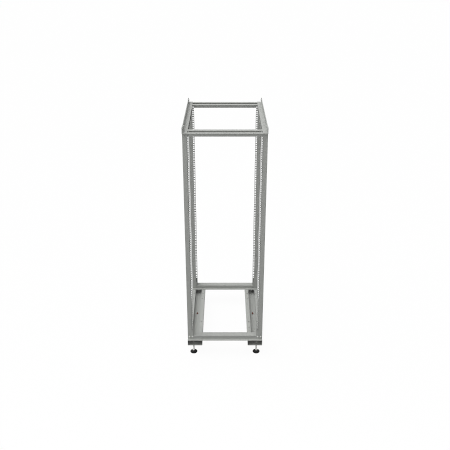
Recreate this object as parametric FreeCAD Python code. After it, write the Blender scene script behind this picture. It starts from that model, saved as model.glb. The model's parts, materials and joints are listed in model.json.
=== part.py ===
# Four post open frame rack, as an assembly of folded sheet sections on levelling feet.
# Millimetres. +Z is up, the front of the rack faces -Y, and the origin is on the floor
# under the middle of the rack.
import FreeCAD, Part
import math
import os

V = FreeCAD.Vector
directions = {"x": V(1, 0, 0), "y": V(0, 1, 0), "z": V(0, 0, 1)}

# Overall frame
cut_through = 8.0              # length of a hole's cutter, centred on the sheets it goes through
rack_width = 530.0             # over the outer faces of the posts
rack_depth = 800.0             # over the outer flanges of the cross members
post_length = 1518.5
sheet = 2.0                    # wall of every folded section
outer_bend = 3.0               # outside radius of a fold
inner_bend = 1.0               # inside radius of a fold

# Cross members: a raised plate on two walls, with a flange strip along each wall's foot
plate_width = 46.0
plate_rise = 26.5
flange_reach = 23.0            # from a wall outwards
lip_reach = 8.0                # from a wall inwards

# Posts: channels that open towards the middle of the rack
rail_margin = 2.8              # from a hole to the free edge of its leg
back_leg = 30.0

# Hole pattern of the 19 inch rack rails
rail_pitch_half = 232.55       # middle of the rack to a hole column
square_hole = 9.5
unit_height = 44.45
unit_holes = (6.35, 22.225, 38.1)
first_unit_rise = 72.0         # foot of a post to the foot of the first unit
last_unit_drop = 24.0          # head of the last unit to the head of a post, at least

# Top side members, and the angles that lie on them
side_width = 32.0
side_plate_rise = 46.0
side_lip_rise = 30.4           # above the flange plane
side_lip_thickness = 4.5       # the lip is folded back on itself
side_lip_bend = 1.5
side_return = 8.0
ear_length = 74.0
ear_reach = 8.0                # from the lip inwards
ear_overhang = 2.0             # outside the lip, at the end of the frame

# Base channels
floor_clearance = 81.5         # floor to the underside of a base channel
channel_width = 103.4
channel_rise = 40.0
channel_lip = 27.0

# Levelling feet
foot_inset = 39.5              # from the ends and the outer faces of the base channels
stud_radius = 6.0
stud_hole_gap = 0.5
stud_top_drop = 1.0            # below the top of the base channels
pad_radius = 25.0
pad_rim = 6.0
pad_bevel = 1.0
pad_shoulder_radius = 20.0
pad_shoulder = 11.0
pad_height = 15.0
pad_neck_radius = 10.0
collar_across_flats = 17.0
collar_height = 6.0
nut_across_flats = 19.0
nut_height = 7.0
foot_plate_length = 143.0
foot_plate_thickness = 5.0
foot_plate_gap = 0.5           # to each wall of the channel
tapped_cut = 24.0              # length of the cutter through the foot plates and lock nuts

# Corner brackets inside the posts
bracket_sheet = 3.0
bracket_rise = 55.0
bracket_web_gap = 1.0
bolt_radius = 3.3
bolt_rise = 20.4               # from the end of a post to its bolts
bolt_inset = (11.5, 33.0)      # from the outer face of a post
bolt_cut = 20.0                # length of the bolt holes' cutter, centred on the post's face

# Round holes for castors and fittings
fitting_hole_radius = 4.5
fitting_span = 72.0            # across a base channel, about its middle
fitting_gap = 328.0            # between the front group of holes and the rear group
fitting_pitch = 77.0           # between the two rows of a group
fitting_shift = 10.0           # the groups lie about a line this far behind the middle
cross_hole_half = 175.0        # middle of the rack to a hole in a cross member's flange
cross_hole_radius = 3.5

# Earth studs
earth_flange_radius = 7.0
earth_flange_height = 3.0
earth_stud_radius = 3.0
earth_stud_height = 14.0

half_width = rack_width / 2
half_depth = rack_depth / 2
frame_foot = floor_clearance + channel_rise
post_top = frame_foot + post_length
flange_top = post_top + sheet
post_face = half_depth - flange_reach
post_back = post_face - plate_width
member_middle = (post_face + post_back) / 2
flange_edge_inner = post_back - flange_reach
rail_edge = rail_pitch_half - square_hole / 2 - rail_margin
back_edge = half_width - back_leg
side_edge = half_width - side_width
channel_inner = half_width - channel_width
channel_middle = half_width - channel_width / 2
foot_x = half_width - foot_inset
foot_y = half_depth - foot_inset
channel_floor = floor_clearance + sheet


def corner(before, at, after, radius):
    """Start, middle and end of the arc that rounds the corner at one point."""
    one = (before - at).normalize()
    two = (after - at).normalize()
    half_angle = one.getAngle(two) / 2
    bisector = (one + two).normalize()
    reach = radius / math.tan(half_angle)
    centre = at + bisector * (radius / math.sin(half_angle))
    return at + one * reach, centre - bisector * radius, at + two * reach


def outline(points, axis):
    """Closed face in the plane across an axis, from (u, w, corner radius) triples."""
    place = {"x": lambda u, w: V(0, u, w), "y": lambda u, w: V(u, 0, w), "z": lambda u, w: V(u, w, 0)}
    spots = [place[axis](u, w) for u, w, radius in points]
    ends = []
    arcs = []
    for index, (u, w, radius) in enumerate(points):
        if radius:
            after = spots[(index + 1) % len(spots)]
            start, middle, end = corner(spots[index - 1], spots[index], after, radius)
            arcs.append(Part.Arc(start, middle, end).toShape())
        else:
            start = end = spots[index]
            arcs.append(None)
        ends.append((start, end))
    edges = []
    for index in range(len(points)):
        if arcs[index]:
            edges.append(arcs[index])
        edges.append(Part.makeLine(ends[index][1], ends[(index + 1) % len(points)][0]))
    return Part.Face(Part.Wire(edges))


def bar(points, axis, start, end):
    """Section carried along an axis from start to end."""
    face = outline(points, axis)
    face.translate(directions[axis] * start)
    return face.extrude(directions[axis] * (end - start))


def block(low, high):
    return Part.makeBox(high[0] - low[0], high[1] - low[1], high[2] - low[2], V(*low))


def round_hole(radius, at, axis, length=cut_through):
    """Cylinder centred on a point, to cut a hole along an axis."""
    along = directions[axis]
    return Part.makeCylinder(radius, length, V(*at) - along * (length / 2), along)


def hexagon(across_flats, low, high, at):
    """Hexagonal prism on a vertical axis."""
    radius = across_flats / math.sqrt(3)
    ring = [V(at[0] + radius * math.cos(k * math.pi / 3), at[1] + radius * math.sin(k * math.pi / 3), low)
            for k in range(6)]
    return Part.Face(Part.makePolygon(ring + ring[:1])).extrude(V(0, 0, high - low))


def to_left(shape):
    return shape.mirror(V(0, 0, 0), V(1, 0, 0))


def to_rear(shape):
    return shape.mirror(V(0, 0, 0), V(0, 1, 0))


def unit_hole_heights():
    foot = frame_foot + first_unit_rise
    unit_count = int((post_length - first_unit_rise - last_unit_drop) // unit_height)
    return [foot + unit * unit_height + rise for unit in range(unit_count) for rise in unit_holes]


def post():
    """Front right post: web outwards, holed leg to the front."""
    front, back, outside = -post_face, -post_back, half_width
    section = [
        (rail_edge, front, 0), (outside, front, outer_bend),
        (outside, back, outer_bend), (back_edge, back, 0),
        (back_edge, back - sheet, 0), (outside - sheet, back - sheet, inner_bend),
        (outside - sheet, front + sheet, inner_bend), (rail_edge, front + sheet, 0)]
    shape = bar(section, "z", frame_foot, post_top)
    left, right = rail_pitch_half - square_hole / 2, rail_pitch_half + square_hole / 2
    cuts = [block((left, front - sheet, z - square_hole / 2), (right, front + 2 * sheet, z + square_hole / 2))
            for z in unit_hole_heights()]
    cuts += bracket_bolts()
    return shape.cut(Part.makeCompound(cuts))


def bracket_bolts():
    """Holes for the bolts that hold a post's leg to its two brackets."""
    return [round_hole(bolt_radius, (half_width - inset, -post_face, z), "y", bolt_cut)
            for z in (frame_foot + bolt_rise, post_top - bolt_rise) for inset in bolt_inset]


def corner_bracket():
    """U bracket in the foot of the front right post, standing on the base channel's lip."""
    front, back = -(post_face - sheet), -(post_back + sheet)
    foot, top = frame_foot, frame_foot + bracket_rise
    wall = bracket_sheet
    section = [
        (front, top, 0), (front, foot, outer_bend), (back, foot, outer_bend), (back, top, 0),
        (back - wall, top, 0), (back - wall, foot + wall, inner_bend),
        (front + wall, foot + wall, inner_bend), (front + wall, top, 0)]
    shape = bar(section, "x", rail_edge + bracket_web_gap, half_width - sheet - bracket_web_gap)
    return shape.cut(Part.makeCompound(bracket_bolts()))


def upper_bracket():
    """The same bracket turned over in the head of the post, under the cross member's flanges."""
    middle = (frame_foot + post_top) / 2
    return corner_bracket().mirror(V(0, 0, middle), V(0, 0, 1))


def member_section():
    """Cross member's section about its middle, with the flange plane at zero and the plate up."""
    wall, lip, flange = plate_width / 2, plate_width / 2 - lip_reach, plate_width / 2 + flange_reach
    rise = plate_rise
    return [
        (-flange, 0, 0), (-lip, 0, 0), (-lip, sheet, 0), (sheet - wall, sheet, inner_bend),
        (sheet - wall, rise - sheet, inner_bend), (wall - sheet, rise - sheet, inner_bend),
        (wall - sheet, sheet, inner_bend), (lip, sheet, 0), (lip, 0, 0), (flange, 0, 0),
        (flange, sheet, 0), (wall, sheet, inner_bend), (wall, rise, outer_bend),
        (-wall, rise, outer_bend), (-wall, sheet, inner_bend), (-flange, sheet, 0)]


def member_body():
    """Raised plate, walls and flanges of a front cross member, as far as the posts' holed legs."""
    shape = bar(member_section(), "x", -rail_edge, rail_edge)
    shape.translate(V(0, -member_middle, frame_foot))
    return shape


def flange_strip(reach, front, back, foot):
    return block((-reach, front, foot), (reach, back, foot + sheet))


def bottom_member():
    """Bottom front member: its flanges run on past the feet of the posts."""
    strips = [flange_strip(half_width, -half_depth, -post_face, frame_foot),
              flange_strip(half_width, -post_back, -flange_edge_inner, frame_foot)]
    return member_body().fuse(strips).removeSplitter()


def top_member():
    """Top front member: the same section turned over, its flanges lying on the posts."""
    middle = (frame_foot + flange_top) / 2
    shape = member_body().mirror(V(0, 0, middle), V(0, 0, 1))
    cap = block((side_edge, -post_face, post_top), (half_width, -post_back, flange_top))
    strips = [flange_strip(half_width, -half_depth, -post_face, post_top),
              flange_strip(side_edge, -post_face, lip_reach - post_face, post_top),
              flange_strip(side_edge, -post_back - lip_reach, -flange_edge_inner, post_top)]
    shape = shape.fuse(strips + [cap, to_left(cap)]).removeSplitter()
    holes = [round_hole(cross_hole_radius, (x, -y, post_top), "z")
             for x in (-cross_hole_half, cross_hole_half)
             for y in ((half_depth + post_face) / 2, (post_back + flange_edge_inner) / 2)]
    return shape.cut(Part.makeCompound(holes))


def fitting_rows():
    """Places of the fitting holes along the depth: two rows in front, two behind."""
    near, far = fitting_gap / 2, fitting_gap / 2 + fitting_pitch
    return [fitting_shift + row for row in (-far, -near, near, far)]


def side_member():
    """Right top side member: a channel between the posts, its slot towards the middle."""
    outside, inside = half_width, side_edge
    foot, top = flange_top - side_plate_rise, flange_top
    channel = [
        (outside, foot, outer_bend), (outside, top, outer_bend), (inside, top, outer_bend),
        (inside, top - side_return, 0), (inside + sheet, top - side_return, 0),
        (inside + sheet, top - sheet, inner_bend), (outside - sheet, top - sheet, inner_bend),
        (outside - sheet, foot + sheet, inner_bend), (inside + sheet, foot + sheet, inner_bend),
        (inside + sheet, foot + side_return, 0), (inside, foot + side_return, 0), (inside, foot, outer_bend)]
    return bar(channel, "y", -post_back, post_back).cut(Part.makeCompound(side_holes()))


def side_angle():
    """Right top angle: its foot lies on the side member and on the posts' heads, its lip stands up."""
    outside, inside = half_width, side_edge
    wall, top = outside - side_lip_thickness, flange_top
    lip_top = flange_top + side_lip_rise
    lip = [
        (inside, top, 0), (outside, top, 0), (outside, lip_top, side_lip_bend),
        (wall, lip_top, side_lip_bend), (wall, top + sheet, inner_bend), (inside, top + sheet, 0)]
    shape = bar(lip, "y", -half_depth, half_depth).fuse([ear(), to_rear(ear())]).removeSplitter()
    return shape.cut(Part.makeCompound(side_holes()))


def side_holes():
    """Holes through the foot of a top angle and the side member under it."""
    middle = (side_edge + half_width - side_lip_thickness) / 2
    return [round_hole(cross_hole_radius, (middle, y, flange_top), "z") for y in fitting_rows()]


def ear():
    """Three cornered tab turned in from the top of the lip, running out at the front end."""
    top = flange_top + side_lip_rise
    corners = [V(half_width + ear_overhang, -half_depth, top), V(half_width, ear_length - half_depth, top),
               V(half_width - side_lip_thickness - ear_reach, ear_length - half_depth, top)]
    return Part.Face(Part.makePolygon(corners + corners[:1])).extrude(V(0, 0, sheet))


def base_channel():
    """Right base channel: floor down, slot up between its lips, both ends open."""
    inside, outside = channel_inner, half_width
    foot, top = floor_clearance, frame_foot
    section = [
        (inside, foot, outer_bend), (outside, foot, outer_bend), (outside, top, outer_bend),
        (outside - channel_lip, top, 0), (outside - channel_lip, top - sheet, 0),
        (outside - sheet, top - sheet, inner_bend), (outside - sheet, foot + sheet, inner_bend),
        (inside + sheet, foot + sheet, inner_bend), (inside + sheet, top - sheet, inner_bend),
        (inside + channel_lip, top - sheet, 0), (inside + channel_lip, top, 0), (inside, top, outer_bend)]
    shape = bar(section, "y", -half_depth, half_depth)
    lip_rows = (channel_middle - fitting_span / 2, channel_middle + fitting_span / 2)
    cuts = [round_hole(fitting_hole_radius, (x, y, top), "z") for x in lip_rows for y in fitting_rows()]
    cuts += [round_hole(stud_radius + stud_hole_gap, (foot_x, y, foot), "z") for y in (-foot_y, foot_y)]
    cuts.append(round_hole(earth_stud_radius, (channel_middle, fitting_shift, foot), "z"))
    return shape.cut(Part.makeCompound(cuts))


def foot_plate():
    """Plate under the lips of the right base channel at its front end, tapped for the stud."""
    top = frame_foot - sheet
    gap = sheet + foot_plate_gap
    shape = block((channel_inner + gap, -half_depth, top - foot_plate_thickness),
                  (half_width - gap, foot_plate_length - half_depth, top))
    return shape.cut(round_hole(stud_radius, (foot_x, -foot_y, top), "z", tapped_cut))


def foot_pad():
    """Round pad of the front right foot: a bevelled rim, then cones up to its neck."""
    profile = [(0, 0), (pad_radius - pad_bevel, 0), (pad_radius, pad_bevel), (pad_radius, pad_rim),
               (pad_shoulder_radius, pad_shoulder), (pad_neck_radius, pad_height), (0, pad_height)]
    points = [V(radius, 0, rise) for radius, rise in profile]
    shape = Part.Face(Part.makePolygon(points + points[:1])).revolve(V(0, 0, 0), V(0, 0, 1), 360)
    shape.translate(V(foot_x, -foot_y, 0))
    return shape


def foot_stud():
    """Stud of the front right foot: a hexagon collar on the pad, then the threaded length."""
    collar = hexagon(collar_across_flats, pad_height, pad_height + collar_height, (foot_x, -foot_y))
    shank_length = frame_foot - stud_top_drop - pad_height
    shank = Part.makeCylinder(stud_radius, shank_length, V(foot_x, -foot_y, pad_height))
    return collar.fuse(shank).removeSplitter()


def lock_nut():
    """Nut on the stud, tight against the underside of the foot plate."""
    top = frame_foot - sheet - foot_plate_thickness
    shape = hexagon(nut_across_flats, top - nut_height, top, (foot_x, -foot_y))
    return shape.cut(round_hole(stud_radius, (foot_x, -foot_y, top), "z", tapped_cut))


def earth_stud():
    """Earth stud on the floor of the right base channel, half way along it."""
    under, floor = (V(channel_middle, fitting_shift, z) for z in (floor_clearance, channel_floor))
    flange = Part.makeCylinder(earth_flange_radius, earth_flange_height, floor)
    shank = Part.makeCylinder(earth_stud_radius, earth_stud_height + sheet, under)
    return flange.fuse(shank).removeSplitter()


def four_corners(name, shape):
    return {
        name + "_front_right": shape, name + "_front_left": to_left(shape),
        name + "_rear_right": to_rear(shape), name + "_rear_left": to_rear(to_left(shape))}


def left_and_right(name, shape):
    return {name + "_right": shape, name + "_left": to_left(shape)}


def front_and_rear(name, shape):
    return {name + "_front": shape, name + "_rear": to_rear(shape)}


def assembly():
    nodes = {}
    nodes.update(four_corners("post", post()))
    nodes.update(front_and_rear("bottom_member", bottom_member()))
    nodes.update(front_and_rear("top_member", top_member()))
    nodes.update(left_and_right("side_member", side_member()))
    nodes.update(left_and_right("side_angle", side_angle()))
    nodes.update(left_and_right("base_channel", base_channel()))
    nodes.update(four_corners("lower_bracket", corner_bracket()))
    nodes.update(four_corners("upper_bracket", upper_bracket()))
    nodes.update(four_corners("foot_plate", foot_plate()))
    nodes.update(four_corners("foot_pad", foot_pad()))
    nodes.update(four_corners("foot_stud", foot_stud()))
    nodes.update(four_corners("lock_nut", lock_nut()))
    nodes.update(left_and_right("earth_stud", earth_stud()))
    return nodes


os.makedirs("parts", exist_ok=True)
for node, solid in assembly().items():
    solid.exportStep("parts/" + node + ".step")
    print(node, len(solid.Solids), solid.isValid(), round(solid.Volume))
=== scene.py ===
import json
from math import pi, radians
import bmesh
import bpy
import numpy as np
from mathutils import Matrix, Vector


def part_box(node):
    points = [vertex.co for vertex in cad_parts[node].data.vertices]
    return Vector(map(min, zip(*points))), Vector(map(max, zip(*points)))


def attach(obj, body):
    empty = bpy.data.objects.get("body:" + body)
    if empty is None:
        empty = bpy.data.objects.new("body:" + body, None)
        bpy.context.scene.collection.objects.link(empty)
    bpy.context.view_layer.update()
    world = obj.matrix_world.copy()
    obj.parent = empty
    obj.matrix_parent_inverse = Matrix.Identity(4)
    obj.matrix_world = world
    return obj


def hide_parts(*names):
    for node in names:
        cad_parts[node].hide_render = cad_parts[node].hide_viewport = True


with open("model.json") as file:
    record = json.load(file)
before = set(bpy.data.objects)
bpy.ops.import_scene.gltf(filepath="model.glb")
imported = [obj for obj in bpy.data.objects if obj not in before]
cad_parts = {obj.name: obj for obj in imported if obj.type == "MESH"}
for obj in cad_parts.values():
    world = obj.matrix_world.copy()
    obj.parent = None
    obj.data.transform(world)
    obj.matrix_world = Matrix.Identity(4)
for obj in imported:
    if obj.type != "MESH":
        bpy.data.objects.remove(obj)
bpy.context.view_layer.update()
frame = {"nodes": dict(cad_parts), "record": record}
print("frame loaded:", len(frame["nodes"]), "nodes")


# ---- sockets and node trees ----

class Wire:
    # a socket that adds a Math node for each sum written with it
    def __init__(self, finish, socket):
        self.finish = finish
        self.socket = socket

    def maths(self, operation, first, second):
        return self.finish.node("ShaderNodeMath", {"operation": operation}, {0: first, 1: second})

    def __add__(self, other): return self.maths("ADD", self, other)
    def __radd__(self, other): return self.maths("ADD", other, self)
    def __sub__(self, other): return self.maths("SUBTRACT", self, other)
    def __rsub__(self, other): return self.maths("SUBTRACT", other, self)
    def __mul__(self, other): return self.maths("MULTIPLY", self, other)


class Finish:
    # one node tree, and one method that adds any node: type, settings first, then inputs
    def __init__(self, name, world=False):
        self.owner = bpy.data.worlds.new(name) if world else bpy.data.materials.new(name)
        self.owner.use_nodes = True
        self.tree = self.owner.node_tree
        self.tree.nodes.clear()

    def node(self, kind, settings, inputs, output=0):
        made = self.tree.nodes.new(kind)
        for key, value in settings.items():
            if key == "stops":
                self.setStops(made.color_ramp, value)
            else:
                setattr(made, key, value)
        for key, value in inputs.items():
            if isinstance(value, Wire):
                self.tree.links.new(value.socket, made.inputs[key])
            else:
                made.inputs[key].default_value = value
        return Wire(self, made.outputs[output]) if len(made.outputs) else None

    def setStops(self, ramp, stops):
        while len(ramp.elements) < len(stops):
            ramp.elements.new(0.5)
        for element, (place, level) in zip(ramp.elements, stops):
            element.position = place
            element.color = shade(level, level, level)

    def objectPlace(self):
        return self.node("ShaderNodeTexCoord", {}, {}, "Object")

    def noise(self, place, scale, detail=2.0, roughness=0.5):
        return self.node("ShaderNodeTexNoise", {}, {
            "Vector": place, "Scale": scale, "Detail": detail, "Roughness": roughness})

    def ramp(self, value, stops):
        return self.node("ShaderNodeValToRGB", {"stops": stops}, {0: value})

    def blend(self, factor, first, second):
        return self.node("ShaderNodeMix", {"data_type": "RGBA"}, {0: factor, 6: first, 7: second}, 2)

    def bump(self, height, strength, distance):
        return self.node("ShaderNodeBump", {}, {
            "Height": height, "Strength": strength, "Distance": distance})

    def principled(self, inputs):
        shader = self.node("ShaderNodeBsdfPrincipled", {}, inputs)
        self.node("ShaderNodeOutputMaterial", {}, {0: shader})
        return self.owner


def shade(red, green, blue):
    return (red, green, blue, 1.0)


# ---- finishes ----

paintValues = {
    "light": shade(0.462, 0.473, 0.452),
    "dark": shade(0.438, 0.449, 0.428),
    "scuff": shade(0.50, 0.51, 0.49),
    "roughness": 0.48,
    "roughnessSpread": 0.10,
    "gloss": 0.25,
    "cloudScale": 7.0,             # slow drift of the tone over a length of sheet
    "cloudDetail": 3.0,
    "rubScale": 38.0,              # pale rubs from handling
    "rubDetail": (6.0, 0.72),
    "rubStops": [(0.66, 0.0), (0.80, 1.0)],
    "rubTone": 0.35,
    "rubPolish": 0.06,
    "peelScale": 620.0,            # the pebbled skin of powder coat
    "grainScale": 2600.0,
    "grainDetail": 1.0,
    "peelShare": 0.85,
    "peelStrength": 0.2,
    "peelDepth": 0.00004,
}


def makePaint():
    # powder coat: a slow drift of tone, a pebbled skin and a few pale rubs
    values = paintValues
    finish = Finish("greyPowderCoat")
    place = finish.objectPlace()
    cloud = finish.noise(place, values["cloudScale"], values["cloudDetail"])
    peel = finish.noise(place, values["peelScale"])
    grain = finish.noise(place, values["grainScale"], values["grainDetail"])
    rub = finish.ramp(finish.noise(place, values["rubScale"], *values["rubDetail"]), values["rubStops"])
    tone = finish.blend(cloud, values["dark"], values["light"])
    tone = finish.blend(rub * values["rubTone"], tone, values["scuff"])
    skin = peel * values["peelShare"] + grain * (1 - values["peelShare"])
    rough = values["roughness"] + (grain - 0.5) * values["roughnessSpread"]
    return finish.principled({
        "Base Color": tone,
        "Roughness": rough - rub * values["rubPolish"],
        "Specular IOR Level": values["gloss"],
        "Normal": finish.bump(skin, values["peelStrength"], values["peelDepth"])})


def mottledFinish(name, values):
    # tone and roughness drift together over patches, and a finer grain roughens the skin
    finish = Finish(name)
    place = finish.objectPlace()
    patch = finish.noise(place, values["patchScale"], *values["patchDetail"])
    skin = finish.noise(place, values["skinScale"]) if "skinScale" in values else patch
    rough = skin if values.get("roughnessFromSkin") else patch
    inputs = {
        "Base Color": finish.blend(patch, values["dark"], values["light"]),
        "Metallic": values.get("metallic", 0.0),
        "Roughness": values["roughness"] + (rough - 0.5) * values["roughnessSpread"],
        "Normal": finish.bump(skin, values["bumpStrength"], values["bumpDepth"])}
    if "gloss" in values:
        inputs["Specular IOR Level"] = values["gloss"]
    return finish.principled(inputs)


zincValues = {                     # pale grey mottle with a fine grain
    "light": shade(0.78, 0.78, 0.76), "dark": shade(0.58, 0.58, 0.57), "metallic": 0.85,
    "roughness": 0.34, "roughnessSpread": 0.22,
    "patchScale": 260.0, "patchDetail": (4.0, 0.6), "skinScale": 3200.0,
    "bumpStrength": 0.2, "bumpDepth": 0.00004,
}

paintedShadePlateValues = {                    # near-black, dull, with slightly paler patches: painted shade, darkening the channel floor seen under the bottom members
    "light": shade(0.055, 0.056, 0.055), "dark": shade(0.038, 0.039, 0.038), "gloss": 0.25,
    "roughness": 0.55, "roughnessSpread": 0.2,
    "patchScale": 55.0, "patchDetail": (5.0, 0.65), "skinScale": 1500.0,
    "bumpStrength": 0.3, "bumpDepth": 0.00008,
}

padValues = {                      # moulded black nylon: slightly mottled, finely textured
    "light": shade(0.020, 0.020, 0.020), "dark": shade(0.011, 0.011, 0.011), "gloss": 0.18,
    "roughness": 0.45, "roughnessSpread": 0.25, "roughnessFromSkin": True,
    "patchScale": 120.0, "patchDetail": (4.0, 0.6), "skinScale": 2100.0,
    "bumpStrength": 0.35, "bumpDepth": 0.0001,
}

earthValues = {                    # dull coppery plate, darker in patches
    "light": shade(0.30, 0.145, 0.115), "dark": shade(0.17, 0.085, 0.07), "metallic": 0.3,
    "roughness": 0.45, "roughnessSpread": 0.3,
    "patchScale": 420.0, "patchDetail": (5.0, 0.7),
    "bumpStrength": 0.25, "bumpDepth": 0.00006,
}

finishes = {
    "paint": makePaint(),
    "zinc": mottledFinish("zincPlate", zincValues),
    # the foot plates' near-black finish is painted shade in the channel ends
    "dark_steel": mottledFinish("plateWithPaintedShade", paintedShadePlateValues),
    "pad_rubber": mottledFinish("blackNylon", padValues),
    "earth": mottledFinish("dullCopperPlate", earthValues),
}


def dressNodes():
    # each CAD node takes the finish of its record slot
    slots = {row["node"]: row["material_slot"] for row in frame["record"]["subparts"]}
    for name, thing in frame["nodes"].items():
        thing.data.materials.clear()
        thing.data.materials.append(finishes[slots[name]])


dressNodes()
print("finishes made:", len(finishes))


# ---- surfaces ----

def gridPatch(points, closeRows=False):
    # rows x columns x 3 points; columns always close on themselves, rows close if asked
    rows, columns = points.shape[:2]
    row = np.arange(rows if closeRows else rows - 1)[:, None]
    column = np.arange(columns)[None, :]
    nextRow = (row + 1) % rows
    nextColumn = (column + 1) % columns
    faces = np.stack([row * columns + column, row * columns + nextColumn,
                      nextRow * columns + nextColumn, nextRow * columns + column], axis=-1).reshape(-1, 4)
    return points.reshape(-1, 3), faces


mergeGap = 1e-6


def buildPiece(name, patches, slot):
    # joins grid patches into one mesh, closes its seams and poles, and hands it to the frame
    vertices, faces, start = [], [], 0
    for points, quads in patches:
        vertices.append(points)
        faces.append(quads + start)
        start += len(points)
    mesh = bpy.data.meshes.new(name)
    mesh.from_pydata(np.concatenate(vertices).tolist(), [], np.concatenate(faces).tolist())
    cleanMesh(mesh)
    piece = bpy.data.objects.new(name, mesh)
    bpy.context.scene.collection.objects.link(piece)
    mesh.materials.append(finishes[slot])
    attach(piece, "root")
    return piece


def cleanMesh(mesh):
    # merges seams, drops edges with no length, and faces every side outward
    work = bmesh.new()
    work.from_mesh(mesh)
    bmesh.ops.remove_doubles(work, verts=work.verts, dist=mergeGap)
    bmesh.ops.dissolve_degenerate(work, edges=work.edges, dist=mergeGap / 2)
    bmesh.ops.recalc_face_normals(work, faces=work.faces)
    work.to_mesh(mesh)
    work.free()


def turnedSurface(profile, across=None, segments=48):
    # radius r(s) and height z(s) carried round the axis; across cuts the round to a hexagon:
    # radius = min(r, (across / 2) / cos(angle from the nearest flat's middle))
    angle = np.linspace(0, 2 * pi, segments, endpoint=False)
    radius = np.repeat(np.array([r for r, z in profile])[:, None], segments, axis=1)
    height = np.repeat(np.array([z for r, z in profile])[:, None], segments, axis=1)
    if across:
        fromFlat = (angle + pi / 6) % (pi / 3) - pi / 6
        radius = np.minimum(radius, (across / 2 / np.cos(fromFlat))[None, :])
    return np.stack([radius * np.cos(angle), radius * np.sin(angle), height], axis=-1)


def upright(surface, low, high):
    # stands a turned surface on the middle of a node's box; its heights are already the frame's
    centre = (low + high) / 2
    return surface + np.array((centre.x, centre.y, 0))


def lyingAlongY(surface, at, sign):
    # turns a surface made about +z so that its axis points along y, or -y, and moves it
    x, y, z = surface[..., 0], surface[..., 1], surface[..., 2] * sign
    return np.stack([x, z, y], axis=-1) + np.array(at)


def threadSurface(radius, low, high, thread):
    # rod with a helical thread: radius = outer - depth * (1 - |2 phase - 1|),
    # phase = height / pitch - angle / full turn, and the last turn tapers at the tip
    rows = int((high - low) / thread["pitch"] * thread["stepsPerTurn"])
    angle = np.linspace(0, 2 * pi, thread["segments"], endpoint=False)[None, :]
    height = np.linspace(low, high, rows)[:, None]
    phase = (height / thread["pitch"] - angle / (2 * pi)) % 1
    surface = radius - thread["depth"] * (1 - np.abs(2 * phase - 1))
    taper = np.clip((high - height) / thread["pitch"], 0, 1)
    surface = np.minimum(surface, radius - thread["depth"] * thread["tipShare"] * (1 - taper))
    body = np.stack([surface * np.cos(angle), surface * np.sin(angle), height + 0 * angle], axis=-1)
    capLow, capHigh = body[:1] * [0, 0, 1], body[-1:] * [0, 0, 1]
    return np.concatenate([capLow, body, capHigh])


# ---- levelling feet ----

padShape = {
    "rim": 0.0058, "edge": 0.0012,                  # height of the rim, round of its edges
    "shoulderShare": 0.80, "neckShare": 0.40,       # of the pad's radius
    "grooveWidth": 0.001, "grooveDepth": 0.0006, "neckFlat": 0.001,
    "roundSteps": 6, "domeSteps": 9, "segments": 64,
}


def footPad(corner):
    # lathe: a flat base, a rounded rim, a shallow groove, and a dome that narrows evenly
    # to the neck while its height rises as the sine of a quarter turn
    low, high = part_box("foot_pad_" + corner)
    radius, top = (high.x - low.x) / 2, high.z
    edge, rim = padShape["edge"], padShape["rim"]
    turn = np.linspace(0, pi / 2, padShape["roundSteps"])
    lowerRound = [(radius - edge + edge * np.sin(t), edge - edge * np.cos(t)) for t in turn]
    upperRound = [(radius - edge + edge * np.cos(t), rim - edge + edge * np.sin(t)) for t in turn]
    shoulder = radius * padShape["shoulderShare"]
    neck = radius * padShape["neckShare"]
    groove = [(shoulder + padShape["grooveWidth"], rim), (shoulder, rim - padShape["grooveDepth"])]
    dome = [(shoulder + (neck - shoulder) * share, rim + (top - rim) * np.sin(share * pi / 2))
            for share in np.linspace(0, 1, padShape["domeSteps"])]
    profile = [(0, 0)] + lowerRound + upperRound + groove + dome
    profile += [(neck - padShape["neckFlat"], top), (0, top)]
    pad = upright(turnedSurface(profile, segments=padShape["segments"]), low, high)
    piece = buildPiece("padOf_" + corner, [gridPatch(pad)], "pad_rubber")
    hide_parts("foot_pad_" + corner)


studShape = {
    "radius": 0.006, "across": 0.017, "rise": 0.006,         # thread's outside, collar's hexagon
    "cornerShare": 0.56, "lowerShare": 0.96, "upperShare": 0.94, "chamfer": 0.0006,
    "overlap": 0.0005,
    "thread": {"pitch": 0.00175, "depth": 0.0010, "tipShare": 1.4, "segments": 20, "stepsPerTurn": 7},
}


def footStud(corner):
    # hexagon collar on the pad, then the threaded length up through the channel
    low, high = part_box("foot_stud_" + corner)
    across, chamfer = studShape["across"], studShape["chamfer"]
    foot, top = low.z, low.z + studShape["rise"]
    widest = across * studShape["cornerShare"]
    collar = turnedSurface([
        (0, foot), (across / 2 * studShape["lowerShare"], foot), (widest, foot + chamfer),
        (widest, top - chamfer), (across / 2 * studShape["upperShare"], top), (0, top)], across)
    rod = threadSurface(studShape["radius"], top - studShape["overlap"], high.z, studShape["thread"])
    patches = [gridPatch(upright(part, low, high)) for part in (collar, rod)]
    piece = buildPiece("studOf_" + corner, patches, "zinc")
    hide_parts("foot_stud_" + corner)


nutShape = {
    "boreGap": 0.0001, "boreChamfer": 0.0006, "boreDepth": 0.0005,
    "chamfer": 0.0011, "flatShare": 0.97, "cornerShare": 0.575,
}


def lockNut(corner):
    # hexagon ring with chamfered corners, closed round its bore
    low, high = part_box("lock_nut_" + corner)
    across = high.y - low.y
    bore = studShape["radius"] + nutShape["boreGap"]
    mouth, depth, chamfer = bore + nutShape["boreChamfer"], nutShape["boreDepth"], nutShape["chamfer"]
    flat, widest = across / 2 * nutShape["flatShare"], across * nutShape["cornerShare"]
    loop = [(bore, low.z + depth), (mouth, low.z), (flat, low.z), (widest, low.z + chamfer),
            (widest, high.z - chamfer), (flat, high.z), (mouth, high.z), (bore, high.z - depth)]
    ring = upright(turnedSurface(loop, across), low, high)
    piece = buildPiece("nutOf_" + corner, [gridPatch(ring, closeRows=True)], "zinc")
    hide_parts("lock_nut_" + corner)


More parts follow.
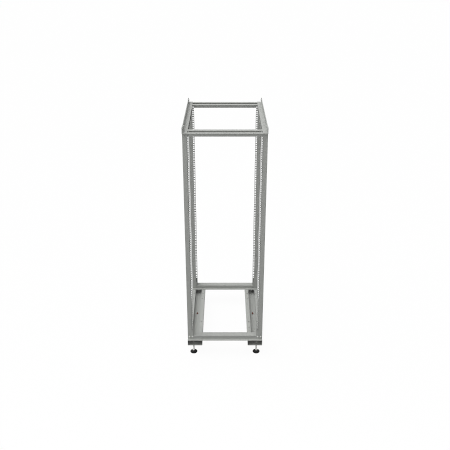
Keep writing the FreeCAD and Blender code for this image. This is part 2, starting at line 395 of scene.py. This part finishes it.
corners = ["front_right", "front_left", "rear_right", "rear_left"]
for corner in corners:
    footPad(corner)
    footStud(corner)
    lockNut(corner)
print("feet made:", len(corners))


# ---- bolts through the feet and heads of the posts ----

boltShape = {
    "insets": (0.0115, 0.0330),     # from the outer face of a post
    "fromEnd": 0.0204,              # from the end of a post
    "across": 0.010, "rise": 0.0042, "cornerShare": 0.575, "headRound": 0.0008,
    "domeShares": (0.47, 0.30),     # of the hexagon, where the top rounds over and where it is flat
    "washerRadius": 0.0065, "washerRise": 0.0012, "washerRound": 0.0002,
    "segments": 36,
}


def boltHead():
    # washer, then a hexagon head with a domed top
    across, rise = boltShape["across"], boltShape["rise"]
    washer, step, easing = (boltShape[key] for key in ("washerRadius", "washerRise", "washerRound"))
    widest = across * boltShape["cornerShare"]
    domeEdge, domeTop = (across * share for share in boltShape["domeShares"])
    profile = [(0, 0), (washer, 0), (washer, step - easing), (washer - easing, step), (widest, step),
               (widest, rise - boltShape["headRound"]), (domeEdge, rise), (domeTop, rise), (0, rise)]
    return turnedSurface(profile, across, boltShape["segments"])


def postBolts(corner):
    # zinc bolts at the foot, bolts coated with the frame at the head
    low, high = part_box("post_" + corner)
    side = 1 if high.x > 0 else -1
    front = -1 if low.y < 0 else 1
    outer = high.x if side > 0 else low.x
    face = low.y if front < 0 else high.y
    rows = (("footBoltsOf_", low.z + boltShape["fromEnd"], "zinc"),
            ("headBoltsOf_", high.z - boltShape["fromEnd"], "paint"))
    for name, height, slot in rows:
        heads = [lyingAlongY(boltHead(), (outer - side * inset, face, height), front)
                 for inset in boltShape["insets"]]
        buildPiece(name + corner, [gridPatch(head) for head in heads], slot)


for corner in corners:
    postBolts(corner)
print("bolts made")


# ---- plates in the ends of the channels ----

plateShape = {
    "length": 0.082,                # from the channel's end inward
    "chamfer": 0.0005, "holeRadius": 0.0062, "segments": 64,
}


def edgeReach(angle, near, far):
    # distance from a point in a rectangle to its edge along each direction:
    # the lesser of the two facing distances over the cosine and the sine
    across = np.where(np.cos(angle) > 0, far[0], near[0])
    along = np.where(np.sin(angle) > 0, far[1], near[1])
    with np.errstate(divide="ignore"):
        return np.minimum(across / np.abs(np.cos(angle)), along / np.abs(np.sin(angle)))


def footPlate(corner):
    # a ring from the stud's hole to a rectangle, chamfered round the outside; its near-black finish is
    # painted shade under the bottom member
    low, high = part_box("foot_plate_" + corner)
    front = low.y < 0
    length, chamfer, hole = (plateShape[key] for key in ("length", "chamfer", "holeRadius"))
    start, end = (low.y, low.y + length) if front else (high.y - length, high.y)
    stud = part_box("foot_stud_" + corner)
    centre = (stud[0] + stud[1]) / 2
    near = (centre.x - low.x, centre.y - start)
    far = (high.x - centre.x, end - centre.y)
    toCorners = [np.arctan2(y, x) for x in (-near[0], far[0]) for y in (-near[1], far[1])]
    evenly = np.linspace(-pi, pi, plateShape["segments"], endpoint=False)
    angle = np.sort(np.concatenate([evenly, toCorners]))
    reach = edgeReach(angle, near, far)
    inset = edgeReach(angle, [d - chamfer for d in near], [d - chamfer for d in far])
    bore = hole + 0 * angle
    rows = [(bore, low.z), (inset, low.z), (reach, low.z + chamfer),
            (reach, high.z - chamfer), (inset, high.z), (bore, high.z)]
    ring = np.stack([np.stack([radius * np.cos(angle), radius * np.sin(angle), z + 0 * angle], axis=-1)
                     for radius, z in rows])
    ring = upright(ring, *stud)
    piece = buildPiece("plateOf_" + corner, [gridPatch(ring, closeRows=True)], "dark_steel")
    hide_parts("foot_plate_" + corner)


# ---- brackets in the heads of the posts ----

bracketShape = {
    "short": 0.0085,                # from the holed leg's edge to the bracket's end
    "sheet": 0.003, "bend": 0.0030, "bendSteps": 6, "edgeRound": 0.0003,
}


def bentPath(turns, radius, steps):
    # straight runs joined by quarter rounds about a middle inside each turn:
    # place = middle + radius * (inward * sine - outward * cosine), and across is that direction
    places, across = [], []
    for before, at, after in zip(turns, turns[1:], turns[2:]):
        inward = (np.array(at) - before) / np.linalg.norm(np.array(at) - before)
        outward = (np.array(after) - at) / np.linalg.norm(np.array(after) - at)
        middle = np.array(at) - inward * radius + outward * radius
        turn = np.linspace(0, pi / 2, steps)[:, None]
        places.append(middle - outward * radius * np.cos(turn) + inward * radius * np.sin(turn))
        across.append(-outward * np.cos(turn) + inward * np.sin(turn))
    places = np.concatenate([[turns[0]]] + places + [[turns[-1]]])
    across = np.concatenate([across[0][:1]] + across + [across[-1][-1:]])
    return places, across


def foldedSheet(places, across, start, end, sheet, edgeRound):
    # a sheet's section carried along a bent path in y and z: place + across * offset,
    # with x running from start to end and the long edges rounded
    half, ease = sheet / 2, edgeRound
    section = [(start + ease, half), (end - ease, half), (end, half - ease), (end, ease - half),
               (end - ease, -half), (start + ease, -half), (start, ease - half), (start, half - ease)]
    x = np.array([place for place, offset in section])[None, :] + 0 * places[:, :1]
    offset = np.array([offset for place, offset in section])[None, :, None]
    yz = places[:, None, :] + across[:, None, :] * offset
    strip = np.concatenate([x[..., None], yz], axis=-1)
    capLow = np.repeat(strip[:1].mean(axis=1, keepdims=True), len(section), axis=1)
    capHigh = np.repeat(strip[-1:].mean(axis=1, keepdims=True), len(section), axis=1)
    return np.concatenate([capLow, strip, capHigh])


def headBracket(corner):
    # the U bracket under the top member, its web up and its legs down inside the post
    low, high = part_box("upper_bracket_" + corner)
    right = high.x > 0
    half = bracketShape["sheet"] / 2
    start = low.x + bracketShape["short"] if right else low.x
    end = high.x if right else high.x - bracketShape["short"]
    front, rear, web = low.y + half, high.y - half, high.z - half
    turns = [(front, low.z), (front, web), (rear, web), (rear, low.z)]
    places, across = bentPath(turns, bracketShape["bend"], bracketShape["bendSteps"])
    strip = foldedSheet(places, across, start, end, bracketShape["sheet"], bracketShape["edgeRound"])
    piece = buildPiece("headBracketOf_" + corner, [gridPatch(strip)], "paint")
    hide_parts("upper_bracket_" + corner)


for corner in corners:
    footPlate(corner)
    headBracket(corner)
print("plates and brackets made:", 2 * len(corners))


# ---- earth studs ----

earthShape = {
    "sheet": 0.002,                 # wall of the channel under the flange
    "flangeRise": 0.0015, "flangeRound": 0.0003,
    "nutAcross": 0.010, "nutCorner": 0.0058, "nutRise": 0.0045,
    "nutFoot": (0.0057, 0.0005), "nutTop": (0.0050, 0.0005),       # radius and height of each chamfer
    "rodRadius": 0.003, "overlap": 0.0005,
    "thread": {"pitch": 0.001, "depth": 0.0006, "tipShare": 1.4, "segments": 20, "stepsPerTurn": 6},
}


def earthStud(side):
    # a round flange, a hexagon nut and a threaded end, with the plain tail through the channel
    low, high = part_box("earth_stud_" + side)
    radius, ease = (high.x - low.x) / 2, earthShape["flangeRound"]
    foot = low.z + earthShape["sheet"]
    seat = foot + earthShape["flangeRise"]
    head = seat + earthShape["nutRise"]
    (footRadius, footChamfer), (topRadius, topChamfer) = earthShape["nutFoot"], earthShape["nutTop"]
    widest, rod, overlap = (earthShape[key] for key in ("nutCorner", "rodRadius", "overlap"))
    flange = turnedSurface([
        (0, foot), (radius, foot), (radius, seat - ease), (radius - ease, seat), (0, seat)])
    nut = turnedSurface([
        (0, seat), (footRadius, seat), (widest, seat + footChamfer), (widest, head - topChamfer),
        (topRadius, head), (0, head)], earthShape["nutAcross"])
    shank = threadSurface(rod, head - overlap, high.z, earthShape["thread"])
    tail = turnedSurface([(0, low.z), (rod, low.z), (rod, foot + overlap), (0, foot + overlap)])
    patches = [gridPatch(upright(part, low, high)) for part in (flange, nut, shank, tail)]
    piece = buildPiece("earthOf_" + side, patches, "earth")
    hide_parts("earth_stud_" + side)


for side in ("right", "left"):
    earthStud(side)
print("earth studs made")


# ---- floor, light and camera ----

roomValues = {
    "floorHalf": 60.0, "floorTone": 0.45,
    "floorShow": 0.10,              # share of the floor's own shade in what is seen of it
    "floorGlow": 1.06,
}

# soft light: what comes from every side, and what each side adds to it
skyValues = {"all": 0.02, "sides": [((0, 0, 1), 0.45), ((-1, 0, 0), 0.27)]}

# a wide soft sun: where it comes from, its spread in degrees, its strength
overheadValues = {"place": (0, 0, 3), "from": (-0.34, 0.0, 0.94), "spread": 62.0, "strength": 1.72}

# a soft panel beside the camera: place, aim, side and watts
panelValues = {"place": (-0.3, -4.3, 2.9), "aim": (0.0, 0.0, 0.9), "side": 1.4, "watts": 31.0}


def seenRays(finish):
    # 1 for rays that come from the camera, a gloss or a glass
    path = finish.node("ShaderNodeLightPath", {}, {}, "Is Camera Ray")
    owner = path.socket.node
    glossy = Wire(finish, owner.outputs["Is Glossy Ray"])
    clear = Wire(finish, owner.outputs["Is Transmission Ray"])
    return path.maths("MAXIMUM", path.maths("MAXIMUM", path, glossy), clear)


def makeFloor():
    half = roomValues["floorHalf"]
    mesh = bpy.data.meshes.new("floor")
    around = [(-half, -half, 0), (half, -half, 0), (half, half, 0), (-half, half, 0)]
    mesh.from_pydata(around, [], [(0, 1, 2, 3)])
    floor = bpy.data.objects.new("floor", mesh)
    bpy.context.scene.collection.objects.link(floor)
    finish = Finish("paleFloor")
    tone = roomValues["floorTone"]
    matt = finish.node("ShaderNodeBsdfDiffuse", {}, {"Color": shade(tone, tone, tone)})
    glow = finish.node("ShaderNodeEmission", {}, {
        "Color": shade(1, 1, 1), "Strength": roomValues["floorGlow"]})
    seen = seenRays(finish) * (1 - roomValues["floorShow"])
    both = finish.node("ShaderNodeMixShader", {}, {0: seen, 1: matt, 2: glow})
    finish.node("ShaderNodeOutputMaterial", {}, {0: both})
    mesh.materials.append(finish.owner)


def makeLight():
    sky = Finish("softSky", world=True)
    direction = sky.node("ShaderNodeTexCoord", {}, {}, "Generated")
    level = skyValues["all"]
    for side, strength in skyValues["sides"]:
        facing = sky.node("ShaderNodeVectorMath", {"operation": "DOT_PRODUCT"},
                          {0: direction, 1: side}, "Value")
        level = level + facing.maths("MAXIMUM", facing, 0.0) * strength
    seen = seenRays(sky)
    background = sky.node("ShaderNodeBackground", {}, {
        "Color": shade(1, 1, 1), "Strength": level + seen * (1 - level)})
    sky.node("ShaderNodeOutputWorld", {}, {0: background})
    bpy.context.scene.world = sky.owner
    sun = bpy.data.lights.new("overhead", "SUN")
    sun.energy = overheadValues["strength"]
    sun.angle = radians(overheadValues["spread"])
    panel = bpy.data.lights.new("panel", "AREA")
    panel.energy = panelValues["watts"]
    panel.size = panelValues["side"]
    hang(sun, overheadValues["place"], Vector(overheadValues["from"]) * -1)
    hang(panel, panelValues["place"], Vector(panelValues["aim"]) - Vector(panelValues["place"]))


def hang(lamp, place, towards):
    holder = bpy.data.objects.new(lamp.name, lamp)
    holder.location = place
    holder.rotation_euler = towards.to_track_quat("-Z", "Y").to_euler()
    bpy.context.scene.collection.objects.link(holder)


cameraValues = {"place": (0.0, -4.138, 2.753), "pitch": 24.775, "lens": 50.56, "sensor": 36.0}


def makeCamera():
    eye = bpy.data.cameras.new("camera")
    eye.lens = cameraValues["lens"]
    eye.sensor_width = cameraValues["sensor"]
    holder = bpy.data.objects.new("camera", eye)
    holder.location = cameraValues["place"]
    holder.rotation_euler = (radians(90 - cameraValues["pitch"]), 0, 0)
    bpy.context.scene.collection.objects.link(holder)
    bpy.context.scene.camera = holder


makeFloor()
makeLight()
makeCamera()
bpy.context.scene.view_settings.view_transform = "Standard"
bpy.context.scene.cycles.pixel_filter_type = "BOX"        # keeps the small holes crisp
bpy.context.scene.cycles.denoising_prefilter = "NONE"
print("floor, light and camera made")
